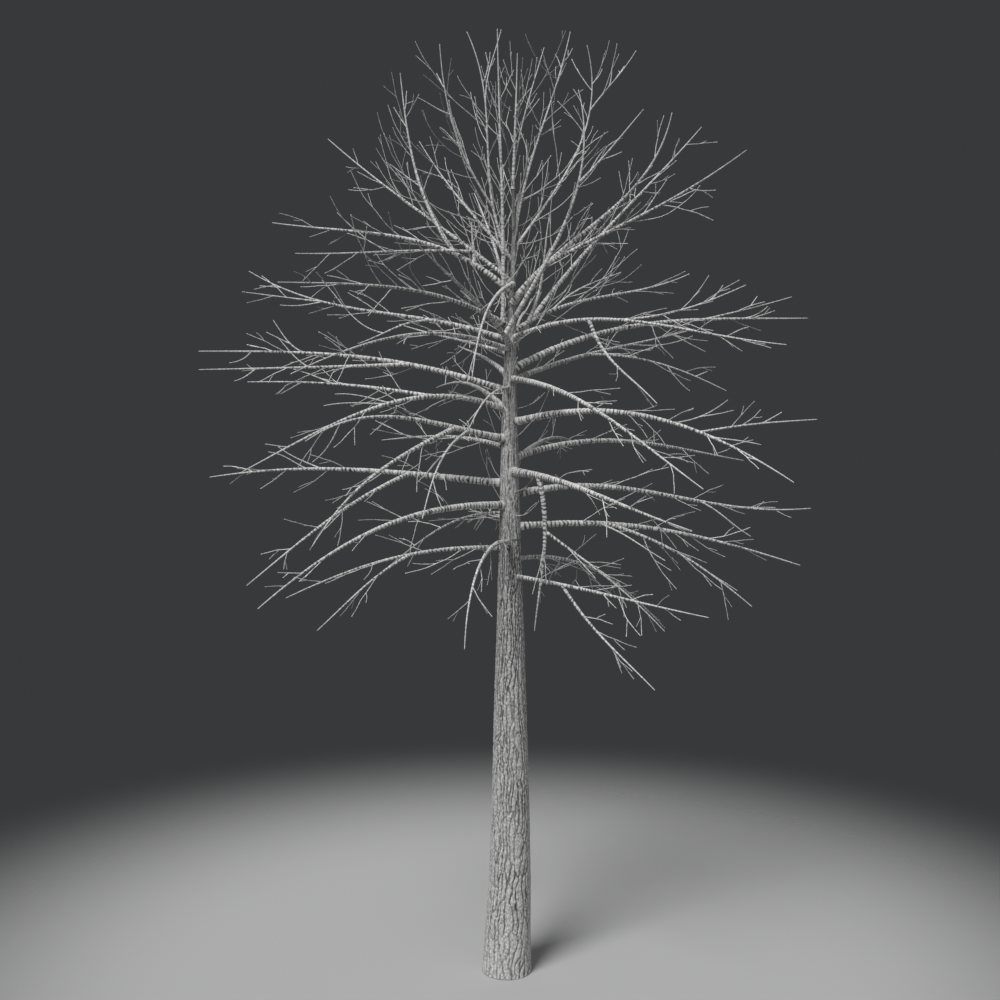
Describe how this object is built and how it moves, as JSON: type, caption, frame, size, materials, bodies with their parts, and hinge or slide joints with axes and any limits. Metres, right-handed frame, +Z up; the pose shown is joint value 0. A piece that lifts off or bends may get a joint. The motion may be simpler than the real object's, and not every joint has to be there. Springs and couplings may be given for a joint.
{
  "type": "bare winter tree",
  "caption": "Bare broadleaf tree in winter: straight tapering trunk cut flat at ground level, arching boughs and a rounded crown of leafless twigs.",
  "frame": {"origin": "centre of the flat cut under the trunk, at ground level", "axes": "+Z up along the trunk, +X to the right and +Y away in the picture's view"},
  "size_m": [11.9558, 9.5642, 18.3021],
  "materials": {
    "bark": "rough grey furrowed bark, matt",
    "twigs": "pale grey twig bark, matt"
  },
  "bodies": {
    "root": {"bough_back_02": "bark", "bough_back_03": "bark", "bough_front_02": "bark", "bough_left_02": "bark", "bough_left_04": "bark", "bough_left_06": "bark", "bough_left_07": "bark", "bough_left_13": "bark", "bough_right_03": "bark", "bough_right_04": "bark", "bough_right_05": "bark", "bough_right_06": "bark", "bough_right_07": "bark", "bough_right_08": "bark", "bough_right_10": "bark", "bough_right_14": "bark", "trunk": "bark", "twigs_back_01": "twigs", "twigs_back_02": "twigs", "twigs_back_03": "twigs", "twigs_back_04": "twigs", "twigs_back_05": "twigs", "twigs_front_01": "twigs", "twigs_front_02": "twigs", "twigs_front_03": "twigs", "twigs_front_04": "twigs", "twigs_front_05": "twigs", "twigs_left_01": "twigs", "twigs_left_02": "twigs", "twigs_left_03": "twigs", "twigs_left_04": "twigs", "twigs_left_05": "twigs", "twigs_left_06": "twigs", "twigs_left_07": "twigs", "twigs_left_08": "twigs", "twigs_left_09": "twigs", "twigs_left_10": "twigs", "twigs_left_11": "twigs", "twigs_left_12": "twigs", "twigs_left_13": "twigs", "twigs_left_14": "twigs", "twigs_right_01": "twigs", "twigs_right_02": "twigs", "twigs_right_03": "twigs", "twigs_right_04": "twigs", "twigs_right_05": "twigs", "twigs_right_06": "twigs", "twigs_right_07": "twigs", "twigs_right_08": "twigs", "twigs_right_09": "twigs", "twigs_right_10": "twigs", "twigs_right_11": "twigs", "twigs_right_12": "twigs", "twigs_right_13": "twigs", "twigs_right_14": "twigs", "twigs_top_01": "twigs", "twigs_top_03": "twigs", "twigs_top_04": "twigs", "twigs_top_05": "twigs"}
  },
  "joints": []
}
